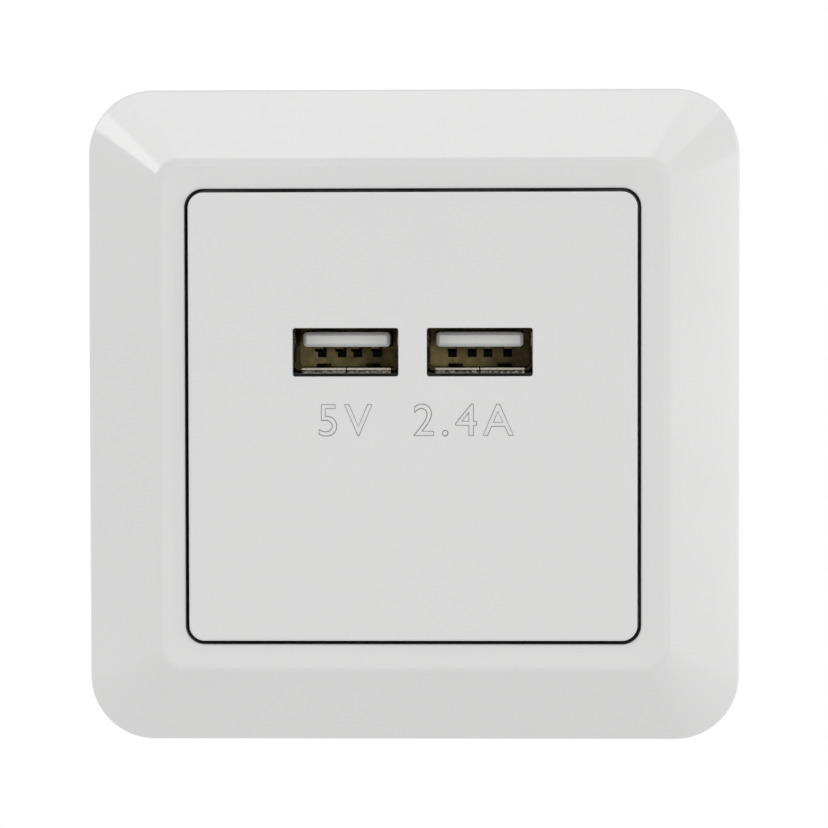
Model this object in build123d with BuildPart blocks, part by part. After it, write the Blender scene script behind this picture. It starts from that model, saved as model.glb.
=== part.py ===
"""Twin USB charging socket for a wall box: frame, centre plate, steel support plate and charger module.

The wall's surface is the plane y = 0, the front faces -Y and +Z is up. Every height below is measured
from the wall: positive in front of it, towards the room, and negative behind it, in the wall box.
Lengths are in millimetres.
"""
import math
import os

from build123d import *

# Frame
frame_size = 81.0
frame_corner = 8.0
frame_height = 10.0
frame_wall = 2.0
hollow_cut = 5.6
edge_height = 4.0
land_width = 3.28
ridge_corner = 3.0
ridge_round = 1.8
opening_chamfer = 0.4
collar_wall = 1.3
collar_depth = 5.6
tab_width = 5.0
tab_reach = 1.2
tab_thickness = 1.1
tab_spread = 34.0
rib_thickness = 1.0
rib_spread = 44.0
rib_depth = 6.6

# Centre plate
plate_size = 55.2
plate_corner = 1.9
plate_gap = 0.42
plate_proud = 0.15
plate_thickness = 1.9
plate_chamfer = 0.25
skirt_wall = 1.3
window_width = 13.0
window_height = 5.95
port_pitch = 16.5
port_rise = 7.95
leg_width = 6.0
leg_thickness = 1.4
leg_spread = 20.0
leg_gap = 0.9
leg_clearance = 0.3
hook_reach = 0.6
hook_length = 1.8
hook_clearance = 0.1

# Support plate
support_clearance = 3.5
support_sheet = 1.2
support_cut = 10.0
box_spacing = 60.0
slot_width = 4.0
slot_length = 7.0

# Receptacles behind the windows
cavity_width = 12.5
cavity_height = 5.12
cavity_cut = 0.35
cavity_depth = 10.4
sheet = 0.3
shell_rise = 0.6
mouth_gap = 0.1
lip_round = 0.6
lip_angle = 75.0
lip_bottom = 11.0
lip_side = 3.8
seam_width = 0.16
seam_end = 1.5
finger_spread = 6.16
finger_width = 1.8
finger_gap = 0.2
finger_start = 2.4
finger_length = 5.6
finger_bulge = 0.42
finger_crest = 3.92
finger_sheet = 0.25
shell_leg_width = 2.2
solder_length = 0.9
tongue_width = 10.8
tongue_thickness = 1.84
tongue_drop = 0.7
tongue_recess = 0.9
tongue_chamfer = 0.35
tongue_clearance = 0.1
base_depth = 1.6
base_clearance = 0.1
contact_width = 1.0
contact_thickness = 0.25
contact_inner = 2.0
contact_outer = 7.0
contact_bow = 0.4
contact_setback = 1.0
contact_bow_length = 3.0
contact_window_width = 1.12
contact_window_height = 1.45
pin_clearance = 0.1

# Charger module
body_size = 43.0
body_cut = 6.5
body_wall = 1.6
body_back_wall = 1.6
body_clearance = 0.3
body_back_chamfer = 1.0
lip_clearance = 0.6
shell_clearance = 0.3
flange_reach = 1.2
flange_thickness = 1.2
snap_reach = 0.7
snap_length = 1.6
snap_width = 6.0
snap_spread = 24.0
rim_height = 1.2
rim_wall = 0.8
rim_length = 20.0
rim_clearance = 0.1
post_size = 3.0
post_inset = 4.6
latch_width = 10.0
latch_thickness = 1.2
latch_reach = 6.2
latch_gap = 0.1
latch_window = 6.0
latch_window_length = 2.2
latch_window_edge = 1.2
latch_play = 0.15
bump_reach = 0.9
ledge_width = 6.0
ledge_reach = 2.4

# Circuit boards
usb_board_thickness = 1.2
usb_board_bottom = 11.5
usb_board_top = 3.6
board_thickness = 1.6
board_spacing = 4.0
board_clearance = 0.3
component_space = 13.0
component_gap = 0.6
header_pins_count = 6
header_pitch = 2.54
header_pin = 0.64
header_height = 2.5
header_drop = 8.6

# Transformer
core_length = 14.0
core_width = 15.4
core_thickness = 4.8
core_leg = 4.2
core_outer_leg = 2.2
core_yoke = 2.0
bobbin_wall = 0.7
bobbin_fit = 0.15
flange_sheet = 0.8
winding_build = 2.2
winding_gap = 0.3
rail_length = 2.6

# Other components on the power board
bulk_diameter = 8.0
bulk_length = 11.5
bulk_rise = 1.6
output_diameter = 6.3
output_length = 9.0
output_rise = 2.0
fuse_width = 3.6
fuse_height = 5.0
fuse_length = 7.5
upper_pitch = 7.0
bridge_width = 4.7
bridge_height = 3.9
bridge_depth = 2.5
film_width = 7.2
film_height = 2.8
film_depth = 6.5
opto_width = 6.4
opto_height = 4.6
opto_depth = 3.5
chip_width = 4.9
chip_height = 3.9
chip_depth = 1.5
chip_spread = 16.0
chip_drop = 4.0
port_chip_width = 2.9
port_chip_height = 1.6
port_chip_depth = 1.1
lead_reach = 1.0
lead_sheet = 0.25
lead_width = 0.4
lead_pitch = 1.27

# Mains terminals
terminal_pitch = 9.2
terminal_drop = 16.6
block_flush = 0.2
block_clearance = 0.2
block_back_wall = 3.4
block_side_wall = 1.0
block_top_wall = 0.8
wire_hole_radius = 1.5
bar_width = 4.4
bar_thickness = 0.8
bar_clearance = 0.3
tail_width = 1.2
cage_width = 6.4
cage_length = 6.0
cage_side = 0.8
cage_top = 0.9
cage_nut = 1.6
cage_clearance = 0.2
wire_space = 3.2
clamp_travel = 2.5
terminal_screw_radius = 1.5
terminal_thread_clearance = 0.04
terminal_tip_gap = 0.05
terminal_head_radius = 2.4
terminal_head_height = 1.8
terminal_head_gap = 0.3
terminal_slot_width = 0.8
terminal_slot_depth = 0.9
terminal_well_clearance = 0.2

# Heights and places that follow from the sizes above
opening_size = plate_size + 2 * plate_gap
ridge_size = opening_size + 2 * land_width
bevel_width = (frame_size - ridge_size) / 2
opening_corner = plate_corner + plate_gap
bevel_slope = (frame_height - edge_height) / bevel_width
bevel_drop = frame_wall * math.hypot(1, bevel_slope)
hollow_half = frame_size / 2 - frame_wall
hollow_edge = edge_height + bevel_slope * frame_wall - bevel_drop
hollow_top = frame_height - frame_wall
hollow_ridge = hollow_half - (hollow_top - hollow_edge) / bevel_slope
collar_back = frame_height - collar_depth
support_size = 2 * (hollow_half - support_clearance)

plate_front = frame_height + plate_proud
plate_back = plate_front - plate_thickness
skirt_back = collar_back + tab_thickness
leg_end = -hook_clearance - hook_length
flange_half = body_size / 2 + body_clearance + flange_reach
leg_offset = flange_half + leg_gap + leg_thickness / 2

port_places = {"left": -port_pitch / 2, "right": port_pitch / 2}
shell_z = port_rise + shell_rise
lip_front = plate_back - mouth_gap
tube_front = lip_front - (lip_round + sheet) * math.sin(math.radians(lip_angle))
cavity_back = tube_front - cavity_depth
base_front = cavity_back - sheet
usb_board_front = base_front - base_depth
usb_board_back = usb_board_front - usb_board_thickness
tongue_tip = tube_front - tongue_recess
tongue_z = shell_z + cavity_height / 2 - tongue_drop - tongue_thickness / 2
tongue_bottom = tongue_z - tongue_thickness / 2
contact_places = [-contact_outer / 2, -contact_inner / 2, contact_inner / 2, contact_outer / 2]
contact_z = tongue_bottom - contact_thickness / 2

board_front = usb_board_back - board_spacing
board_back = board_front - board_thickness
body_front = tube_front - lip_clearance
body_back = board_back - component_space - body_back_wall
joint_height = board_front + rim_height
inner_size = body_size - 2 * body_wall
inner_half = inner_size / 2
post_offset = inner_half - post_inset
post_places = [(x, z) for x in (-post_offset, post_offset) for z in (-post_offset, post_offset)]
board_size = inner_size - 2 * board_clearance
latch_front = joint_height + latch_reach
window_front = latch_front - latch_window_edge
window_back = window_front - latch_window_length

upper_row = inner_half - component_gap - lead_reach - opto_height / 2
winding_top = board_back - component_gap
transformer_height = winding_top - winding_build - bobbin_wall - bobbin_fit - core_thickness / 2

block_width = terminal_pitch + cage_width + 2 * cage_clearance + 2 * block_side_wall
block_bottom = -body_size / 2 + block_flush
block_back = body_back + block_flush
bar_bottom = -terminal_drop + cage_nut + clamp_travel
bar_top = bar_bottom + bar_thickness
cage_bottom = bar_bottom - bar_clearance - cage_nut
cage_inner_top = bar_top + wire_space
cage_height_top = cage_inner_top + cage_top
pocket_bottom = cage_bottom - clamp_travel - terminal_head_gap / 2
pocket_top = cage_height_top + cage_clearance
block_top = pocket_top + block_top_wall
transformer_rise = block_top + component_gap + core_width / 2
pocket_back = block_back + block_back_wall
cage_middle = pocket_back + cage_clearance + cage_length / 2
head_top = pocket_bottom - terminal_head_gap / 2
terminal_places = {"live": -terminal_pitch / 2, "neutral": terminal_pitch / 2}


def level(height):
    """Plane parallel to the wall at this height: local x is right and local y is up."""
    return Plane.XZ.offset(height)


def cut_square(size, cut, grow=0.0):
    """Corner points of a square with cut corners, after its outline has moved outward by grow."""
    far = size / 2 + grow
    near = far - cut - (2 - math.sqrt(2)) * grow
    quarter = [(far, near), (near, far)]
    points = []
    for _ in range(4):
        points.extend(quarter)
        quarter = [(-z, x) for x, z in quarter]
    return points


# The frame's hollow back: everything behind its wall but the collar round the opening and the ribs
with BuildPart() as frame_hollow:
    with BuildSketch(Plane.YZ.offset(-hollow_half)):
        Polygon(
            (0, -hollow_half),
            (0, hollow_half),
            (-hollow_edge, hollow_half),
            (-hollow_top, hollow_ridge),
            (-hollow_top, -hollow_ridge),
            (-hollow_edge, -hollow_half),
            align=None,
        )
    extrude(amount=2 * hollow_half)
    with BuildSketch(Plane.XY.offset(-hollow_half)):
        Polygon(
            (-hollow_half, 0),
            (hollow_half, 0),
            (hollow_half, -hollow_edge),
            (hollow_ridge, -hollow_top),
            (-hollow_ridge, -hollow_top),
            (-hollow_half, -hollow_edge),
            align=None,
        )
    extrude(amount=2 * hollow_half, mode=Mode.INTERSECT)
    with BuildSketch(level(0)):
        Polygon(*cut_square(2 * hollow_half, hollow_cut), align=None)
    extrude(amount=hollow_top, mode=Mode.INTERSECT)
    with BuildSketch(level(collar_back)):
        collar_outer = opening_size + 2 * collar_wall
        RectangleRounded(collar_outer, collar_outer, opening_corner + collar_wall)
    extrude(amount=collar_depth, mode=Mode.SUBTRACT)
    with BuildSketch(level(frame_height - rib_depth)):
        with Locations((-rib_spread / 2, 0), (rib_spread / 2, 0)):
            Rectangle(rib_thickness, frame_size)
        with Locations((0, -rib_spread / 2), (0, rib_spread / 2)):
            Rectangle(frame_size, rib_thickness)
    extrude(amount=rib_depth, mode=Mode.SUBTRACT)

with BuildPart() as frame:
    with BuildSketch(level(0)):
        RectangleRounded(frame_size, frame_size, frame_corner)
    extrude(amount=edge_height)
    with BuildSketch(level(edge_height)):
        RectangleRounded(frame_size, frame_size, frame_corner)
    with BuildSketch(level(frame_height)):
        RectangleRounded(ridge_size, ridge_size, ridge_corner)
    loft(ruled=True)
    fillet(frame.faces().sort_by(Axis.Y)[0].edges(), ridge_round)
    add(frame_hollow.part, mode=Mode.SUBTRACT)
    with BuildSketch(level(0)):
        RectangleRounded(opening_size, opening_size, opening_corner)
    extrude(amount=frame_height, mode=Mode.SUBTRACT)
    chamfer(frame.faces().sort_by(Axis.Y)[0].inner_wires()[0].edges(), opening_chamfer)
    with BuildSketch(level(collar_back)):
        tab_middle = opening_size / 2 + (collar_wall - tab_reach) / 2
        for across in (-tab_spread / 2, 0, tab_spread / 2):
            with Locations((across, -tab_middle), (across, tab_middle)):
                Rectangle(tab_width, collar_wall + tab_reach)
            with Locations((-tab_middle, across), (tab_middle, across)):
                Rectangle(collar_wall + tab_reach, tab_width)
    extrude(amount=tab_thickness)

with BuildPart() as centre_plate:
    with BuildSketch(level(skirt_back)):
        RectangleRounded(plate_size, plate_size, plate_corner)
    extrude(amount=plate_front - skirt_back)
    chamfer(centre_plate.faces().sort_by(Axis.Y)[0].edges(), plate_chamfer)
    with BuildSketch(level(skirt_back)):
        skirt_inside = plate_size - 2 * skirt_wall
        Rectangle(skirt_inside, skirt_inside)
    extrude(amount=plate_back - skirt_back, mode=Mode.SUBTRACT)
    with BuildSketch(level(plate_front)):
        with Locations(*[(x, port_rise) for x in port_places.values()]):
            Rectangle(window_width, window_height)
    extrude(amount=-plate_thickness, mode=Mode.SUBTRACT)
    leg_places = [(x, z) for x in (-leg_spread / 2, leg_spread / 2) for z in (-leg_offset, leg_offset)]
    with BuildSketch(level(plate_back)):
        with Locations(*leg_places):
            Rectangle(leg_width, leg_thickness)
    extrude(amount=leg_end - plate_back)
    for x, z in leg_places:
        outward = math.copysign(1, z)
        leg_face = z + outward * leg_thickness / 2
        with BuildSketch(Plane.YZ.offset(x - leg_width / 2)):
            Polygon(
                (hook_clearance, z),
                (hook_clearance, leg_face + outward * hook_reach),
                (-leg_end, leg_face),
                (-leg_end, z),
                align=None,
            )
        extrude(amount=leg_width)

with BuildPart() as support_plate:
    with BuildSketch(level(0)):
        Polygon(*cut_square(support_size, support_cut), align=None)
        Polygon(*cut_square(body_size, body_cut, body_clearance), align=None, mode=Mode.SUBTRACT)
        with Locations((-box_spacing / 2, 0), (box_spacing / 2, 0)):
            SlotOverall(slot_length, slot_width, mode=Mode.SUBTRACT)
        with Locations((0, -box_spacing / 2), (0, box_spacing / 2)):
            SlotOverall(slot_length, slot_width, rotation=90, mode=Mode.SUBTRACT)
        for x, z in leg_places:
            with Locations((x, z + math.copysign(hook_reach / 2, z))):
                leg_window = leg_thickness + hook_reach + 2 * leg_clearance
                Rectangle(leg_width + 2 * leg_clearance, leg_window, mode=Mode.SUBTRACT)
    extrude(amount=support_sheet)


def usb_shell(x):
    """Folded sheet shell of one receptacle, with flared lips, spring fingers and a back wall."""
    wall_offset = cavity_height / 2 + sheet / 2
    side_offset = cavity_width / 2 + sheet / 2
    with BuildPart() as shell:
        with BuildSketch(level(base_front)) as tube_outline:
            with Locations((x, shell_z)):
                Rectangle(cavity_width + 2 * sheet, cavity_height + 2 * sheet)
            chamfer(tube_outline.vertices(), cavity_cut + (2 - math.sqrt(2)) * sheet)
        extrude(amount=cavity_depth + sheet)
        with BuildSketch(level(cavity_back)) as cavity_outline:
            with Locations((x, shell_z)):
                Rectangle(cavity_width, cavity_height)
            chamfer(cavity_outline.vertices(), cavity_cut)
        extrude(amount=cavity_depth, mode=Mode.SUBTRACT)
        # Back wall openings for the tongue and the contacts
        with BuildSketch(level(base_front)):
            with Locations((x, tongue_z)):
                Rectangle(tongue_width + 2 * tongue_clearance, tongue_thickness + 2 * tongue_clearance)
            window_z = tongue_bottom - contact_window_height / 2
            with Locations(*[(x + place, window_z) for place in contact_places]):
                Rectangle(contact_window_width, contact_window_height)
        extrude(amount=sheet, mode=Mode.SUBTRACT)
        # Seam where the folded sheet meets, along the bottom wall
        with BuildSketch(level(tube_front)):
            with Locations((x, shell_z - wall_offset)):
                Rectangle(seam_width, 2 * sheet)
        extrude(amount=seam_end - cavity_depth, mode=Mode.SUBTRACT)
        # Flared lips round the mouth: one on top and each side, two at the bottom beside the seam
        half_lip = (lip_bottom - seam_width) / 2
        bend = sheet / 2 + lip_round
        mouth = -tube_front
        with BuildSketch(level(tube_front)):
            for side in (-1, 1):
                with Locations((x + side * (seam_width + half_lip) / 2, shell_z - wall_offset)):
                    Rectangle(half_lip, sheet)
        revolve(axis=Axis((x, mouth, shell_z - wall_offset - bend), (1, 0, 0)), revolution_arc=lip_angle)
        with BuildSketch(level(tube_front)):
            with Locations((x, shell_z + wall_offset)):
                Rectangle(lip_bottom, sheet)
        revolve(axis=Axis((x, mouth, shell_z + wall_offset + bend), (-1, 0, 0)), revolution_arc=lip_angle)
        for side in (-1, 1):
            with BuildSketch(level(tube_front)):
                with Locations((x + side * side_offset, shell_z)):
                    Rectangle(sheet, lip_side)
            hinge_line = Axis((x + side * (side_offset + bend), mouth, shell_z), (0, 0, side))
            revolve(axis=hinge_line, revolution_arc=lip_angle)
        # Spring fingers cut out of the top and bottom walls and bent inwards
        finger_y = finger_start - tube_front
        for side in (-1, 1):
            for place in (-finger_spread / 2, finger_spread / 2):
                with BuildSketch(level(tube_front - finger_start)):
                    with Locations((x + place, shell_z + side * wall_offset)):
                        Rectangle(finger_width + 2 * finger_gap, 2 * sheet)
                extrude(amount=-finger_length - finger_gap, mode=Mode.SUBTRACT)
                inside = shell_z + side * cavity_height / 2
                outside = inside + side * finger_sheet
                with BuildSketch(Plane.YZ.offset(x + place - finger_width / 2)):
                    Polygon(
                        (finger_y - sheet, inside),
                        (finger_y, inside),
                        (finger_y + finger_crest, inside - side * finger_bulge),
                        (finger_y + finger_length, inside),
                        (finger_y + finger_length, outside),
                        (finger_y + finger_crest, outside - side * finger_bulge),
                        (finger_y, outside),
                        (finger_y - sheet, outside),
                        align=None,
                    )
                extrude(amount=finger_width)
        # Solder legs down both sides of the moulded base and through the board
        with BuildSketch(level(cavity_back)):
            with Locations((x - side_offset, shell_z), (x + side_offset, shell_z)):
                Rectangle(sheet, shell_leg_width)
        extrude(amount=usb_board_back - solder_length - cavity_back)
    return shell


def usb_tongue(x):
    """Moulded tongue and base of one receptacle, with channels for its contacts."""
    with BuildPart() as tongue:
        with BuildSketch(level(base_front)):
            with Locations((x, tongue_z)):
                Rectangle(tongue_width, tongue_thickness)
        extrude(amount=tongue_tip - base_front)
        chamfer(tongue.faces().sort_by(Axis.Y)[0].edges(), tongue_chamfer)
        with BuildSketch(level(base_front)):
            with Locations((x, shell_z)):
                Rectangle(cavity_width - 2 * base_clearance, cavity_height)
        extrude(amount=-base_depth)
        with BuildSketch(level(base_front)):
            with Locations(*[(x + place, contact_z) for place in contact_places]):
                Rectangle(contact_width + 2 * pin_clearance, contact_thickness + 2 * pin_clearance)
        extrude(amount=-base_depth, mode=Mode.SUBTRACT)
    return tongue


def usb_contacts(x):
    """Four sprung strips under the tongue, with tails through the base and the board."""
    tip = contact_setback - tongue_tip
    tail = solder_length - usb_board_back
    crest = tip + contact_bow_length / 2
    foot = tip + contact_bow_length
    upper = tongue_bottom
    lower = tongue_bottom - contact_thickness
    with BuildPart() as contacts:
        for place in contact_places:
            with BuildSketch(Plane.YZ.offset(x + place - contact_width / 2)):
                Polygon(
                    (tip, upper),
                    (crest, upper - contact_bow),
                    (foot, upper),
                    (tail, upper),
                    (tail, lower),
                    (foot, lower),
                    (crest, lower - contact_bow),
                    (tip, lower),
                    align=None,
                )
            extrude(amount=contact_width)
    return contacts


with BuildPart() as housing_front:
    with BuildSketch(level(joint_height)):
        Polygon(*cut_square(body_size, body_cut), align=None)
    extrude(amount=body_front - joint_height)
    with BuildSketch(level(support_sheet)):
        Polygon(*cut_square(body_size, body_cut, body_clearance + flange_reach), align=None)
    extrude(amount=flange_thickness)
    with BuildSketch(level(joint_height)):
        Polygon(*cut_square(body_size, body_cut, -body_wall), align=None)
    extrude(amount=body_front - body_wall - joint_height, mode=Mode.SUBTRACT)
    # Posts that hold the power board down
    with BuildSketch(level(board_front)):
        with Locations(*post_places):
            Rectangle(post_size, post_size)
    extrude(amount=body_front - body_wall - board_front)
    # Windows for the receptacles
    with BuildSketch(level(body_front)):
        with Locations(*[(x, shell_z) for x in port_places.values()]):
            shell_window = cavity_width + 2 * sheet + 2 * shell_clearance
            Rectangle(shell_window, cavity_height + 2 * sheet + 2 * shell_clearance)
    extrude(amount=-body_wall, mode=Mode.SUBTRACT)
    # Ledges that the receptacle board rests on
    with BuildSketch(level(usb_board_front)):
        ledge_middle = inner_half - ledge_reach / 2 + body_wall / 4
        with Locations((-ledge_middle, shell_z), (ledge_middle, shell_z)):
            Rectangle(ledge_reach + body_wall / 2, ledge_width)
    extrude(amount=body_front - body_wall - usb_board_front)
    # Rims that centre the front shell in the rear one
    rim_middle = inner_half - rim_clearance - rim_wall / 2
    rim_places = [(-rim_middle, 0), (rim_middle, 0), (0, -rim_middle), (0, rim_middle)]
    with BuildSketch(level(board_front + rim_clearance)):
        for x, z in rim_places:
            with Locations((x, z)):
                Rectangle(rim_wall if x else rim_length, rim_length if x else rim_wall)
    extrude(amount=2 * rim_height)
    root_share = (rim_middle + rim_clearance) / rim_middle
    with BuildSketch(level(joint_height)):
        for x, z in [(place_x * root_share, place_z * root_share) for place_x, place_z in rim_places]:
            with Locations((x, z)):
                Rectangle(rim_wall if x else rim_length, rim_length if x else rim_wall)
    extrude(amount=rim_height)
    # Snap wedges that catch behind the support plate
    for side in (-1, 1):
        wall_face = side * body_size / 2
        for z in (-snap_spread / 2, snap_spread / 2):
            with BuildSketch(Plane.XY.offset(z - snap_width / 2)):
                Polygon(
                    (wall_face - side * body_wall / 2, hook_clearance),
                    (wall_face + side * snap_reach, hook_clearance),
                    (wall_face, hook_clearance + snap_length),
                    (wall_face - side * body_wall / 2, hook_clearance + snap_length),
                    align=None,
                )
            extrude(amount=snap_width)
        # Bump that catches in the rear shell's latch
        with BuildSketch(Plane.XY.offset(-latch_window / 2 + latch_play)):
            Polygon(
                (wall_face - side * body_wall / 2, latch_play - window_front),
                (wall_face, latch_play - window_front),
                (wall_face + side * bump_reach, -window_back - latch_play),
                (wall_face - side * body_wall / 2, -window_back - latch_play),
                align=None,
            )
        extrude(amount=latch_window - 2 * latch_play)

with BuildPart() as housing_rear:
    with BuildSketch(level(joint_height)):
        Polygon(*cut_square(body_size, body_cut), align=None)
    extrude(amount=body_back - joint_height)
    chamfer(housing_rear.faces().sort_by(Axis.Y)[-1].edges(), body_back_chamfer)
    with BuildSketch(level(joint_height)):
        Polygon(*cut_square(body_size, body_cut, -body_wall), align=None)
    extrude(amount=body_back + body_back_wall - joint_height, mode=Mode.SUBTRACT)
    # Posts that the power board rests on
    with BuildSketch(level(board_back)):
        with Locations(*post_places):
            Rectangle(post_size, post_size)
    extrude(amount=body_back + body_back_wall - board_back)
    # Latches over both sides of the front shell
    for side in (-1, 1):
        latch_inner = body_size / 2 + latch_gap
        latch_outer = latch_inner + latch_thickness
        with BuildSketch(Plane.XY.offset(-latch_width / 2)):
            Polygon(
                (side * latch_inner, -latch_front),
                (side * latch_outer, -latch_front),
                (side * latch_outer, -joint_height + latch_thickness),
                (side * (body_size / 2 - body_wall / 2), -joint_height + 2 * latch_thickness),
                (side * (body_size / 2 - body_wall / 2), -joint_height),
                (side * latch_inner, -joint_height),
                align=None,
            )
        extrude(amount=latch_width)
        with BuildSketch(level(window_back)):
            with Locations((side * (latch_inner + latch_outer) / 2, 0)):
                Rectangle(2 * latch_thickness, latch_window)
        extrude(amount=latch_window_length, mode=Mode.SUBTRACT)
    # Notch at the lower edge of the back, filled by the terminal block
    notch_top = block_top + block_clearance
    notch_front = board_back + block_clearance
    with BuildSketch(level(notch_front)):
        with Locations((0, (notch_top - body_size) / 2)):
            Rectangle(block_width + 2 * block_clearance, notch_top + body_size)
    extrude(amount=body_back - notch_front, mode=Mode.SUBTRACT)

header_z = shell_z - header_drop
header_start = -(header_pins_count - 1) / 2 * header_pitch
header_places = [(header_start + i * header_pitch, header_z) for i in range(header_pins_count)]

with BuildPart() as usb_board:
    with BuildSketch(level(usb_board_back)):
        with Locations((0, shell_z + (usb_board_top - usb_board_bottom) / 2)):
            Rectangle(board_size, usb_board_top + usb_board_bottom)
        with Locations(*post_places):
            post_room = post_size + 2 * board_clearance
            Rectangle(post_room, post_room, mode=Mode.SUBTRACT)
        for x in port_places.values():
            leg_x = cavity_width / 2 + sheet / 2
            with Locations((x - leg_x, shell_z), (x + leg_x, shell_z)):
                Rectangle(sheet + 2 * pin_clearance, shell_leg_width + 2 * pin_clearance, mode=Mode.SUBTRACT)
            with Locations(*[(x + place, contact_z) for place in contact_places]):
                contact_hole = contact_width + 2 * pin_clearance
                Rectangle(contact_hole, contact_thickness + 2 * pin_clearance, mode=Mode.SUBTRACT)
        with Locations(*header_places):
            header_hole = header_pin + 2 * pin_clearance
            Rectangle(header_hole, header_hole, mode=Mode.SUBTRACT)
    extrude(amount=usb_board_thickness)

tail_z = bar_bottom + bar_thickness / 2

with BuildPart() as power_board:
    with BuildSketch(level(board_back)):
        Polygon(*cut_square(body_size, body_cut, -body_wall - board_clearance), align=None)
        with Locations(*header_places):
            Rectangle(header_hole, header_hole, mode=Mode.SUBTRACT)
        with Locations(*[(x, tail_z) for x in terminal_places.values()]):
            Rectangle(tail_width + 2 * pin_clearance, bar_thickness + 2 * pin_clearance, mode=Mode.SUBTRACT)
    extrude(amount=board_thickness)

with BuildPart() as header_body:
    with BuildSketch(level(usb_board_back)):
        with Locations((0, header_z)):
            Rectangle(header_pins_count * header_pitch, header_pitch)
        with Locations(*header_places):
            Rectangle(header_pin, header_pin, mode=Mode.SUBTRACT)
    extrude(amount=-header_height)

with BuildPart() as header_pins:
    with BuildSketch(level(board_back)):
        with Locations(*header_places):
            Rectangle(header_pin, header_pin)
    extrude(amount=usb_board_front + solder_length - board_back)

# Transformer: a flat pair of E cores round a bobbin whose winding runs along X
window_length = core_length - 2 * core_yoke
window_gap = (core_width - core_leg) / 2 - core_outer_leg
tube_width = core_leg + 2 * bobbin_fit + 2 * bobbin_wall
tube_height = core_thickness + 2 * bobbin_fit + 2 * bobbin_wall
winding_length = window_length - 2 * flange_sheet - 2 * winding_gap

with BuildPart() as transformer_core:
    with BuildSketch(level(transformer_height - core_thickness / 2)):
        with Locations((0, transformer_rise)):
            Rectangle(core_length, core_width)
        for side in (-1, 1):
            with Locations((0, transformer_rise + side * (core_leg + window_gap) / 2)):
                Rectangle(window_length, window_gap, mode=Mode.SUBTRACT)
    extrude(amount=core_thickness)

with BuildPart() as transformer_bobbin:
    flange_start = window_length / 2 - winding_gap - flange_sheet
    flange_width = core_leg + 2 * window_gap - 2 * bobbin_fit
    flange_height = tube_height + 2 * winding_build
    # Tube round the middle leg and a flange at each end of it
    for start, length, width, height in (
        (-flange_start, 2 * flange_start, tube_width, tube_height),
        (-flange_start - flange_sheet, flange_sheet, flange_width, flange_height),
        (flange_start, flange_sheet, flange_width, flange_height),
    ):
        with BuildSketch(Plane.YZ.offset(start)):
            with Locations((-transformer_height, transformer_rise)):
                Rectangle(height, width)
        extrude(amount=length)
    # Pin rails that stand on the board under the yokes
    rail_middle = flange_start + (flange_sheet + rail_length) / 2
    with BuildSketch(level(board_back)):
        with Locations((-rail_middle, transformer_rise), (rail_middle, transformer_rise)):
            Rectangle(flange_sheet + rail_length, core_width)
    extrude(amount=transformer_height + core_thickness / 2 + bobbin_fit - board_back)
    # Tunnel for the middle leg
    with BuildSketch(Plane.YZ.offset(-core_length / 2)):
        with Locations((-transformer_height, transformer_rise)):
            Rectangle(core_thickness + 2 * bobbin_fit, core_leg + 2 * bobbin_fit)
    extrude(amount=core_length, mode=Mode.SUBTRACT)

with BuildPart() as transformer_winding:
    with BuildSketch(Plane.YZ.offset(-winding_length / 2)) as turns:
        with Locations((-transformer_height, transformer_rise)):
            Rectangle(tube_height + 2 * winding_build, tube_width + 2 * winding_build)
            chamfer(turns.vertices(), winding_build / 2)
            Rectangle(tube_height, tube_width, mode=Mode.SUBTRACT)
    extrude(amount=winding_length)


def can(x, z, diameter, length):
    """Capacitor can standing on the power board."""
    with BuildPart() as capacitor:
        with BuildSketch(level(board_back)):
            with Locations((x, z)):
                Circle(diameter / 2)
        extrude(amount=-length)
    return capacitor


side_room = inner_half - component_gap
bulk_x = -side_room + bulk_diameter / 2
output_x = side_room - output_diameter / 2
bulk_pitch = bulk_diameter + component_gap
output_pitch = output_diameter + component_gap
fuse_top = output_rise - output_pitch / 2 - output_diameter / 2 - component_gap

with BuildPart() as fuse:
    with BuildSketch(level(board_back)):
        with Locations((block_width / 2 + component_gap + fuse_width / 2, fuse_top - fuse_height / 2)):
            Rectangle(fuse_width, fuse_height)
    extrude(amount=-fuse_length)


def chip(x, z, face, outward, width, height, depth, leads):
    """Moulded package on a board, standing outward from its face, with flat leads at top and bottom."""
    with BuildPart() as package:
        with BuildSketch(level(face)):
            with Locations((x, z)):
                Rectangle(width, height)
        extrude(amount=outward * depth)
        with BuildSketch(level(face)):
            for i in range(leads):
                with Locations((x + (i - (leads - 1) / 2) * lead_pitch, z)):
                    Rectangle(lead_width, height + 2 * lead_reach)
        extrude(amount=outward * lead_sheet)
    return package


bridge_rectifier = chip(
    -upper_pitch, upper_row, board_back, -1, bridge_width, bridge_height, bridge_depth, 2
)
optocoupler = chip(upper_pitch, upper_row, board_back, -1, opto_width, opto_height, opto_depth, 2)
switching_chip = chip(-chip_spread / 2, -chip_drop, board_front, 1, chip_width, chip_height, chip_depth, 3)
rectifier_chip = chip(chip_spread / 2, -chip_drop, board_front, 1, chip_width, chip_height, chip_depth, 3)

with BuildPart() as safety_capacitor:
    with BuildSketch(level(board_back)):
        with Locations((0, upper_row)):
            Rectangle(film_width, film_height)
    extrude(amount=-film_depth)

with BuildPart() as port_chips:
    with BuildSketch(level(usb_board_back)):
        chip_x = header_pins_count * header_pitch / 2 + component_gap + port_chip_width / 2
        with Locations((-chip_x, header_z), (chip_x, header_z)):
            Rectangle(port_chip_width, port_chip_height)
    extrude(amount=-port_chip_depth)

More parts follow.
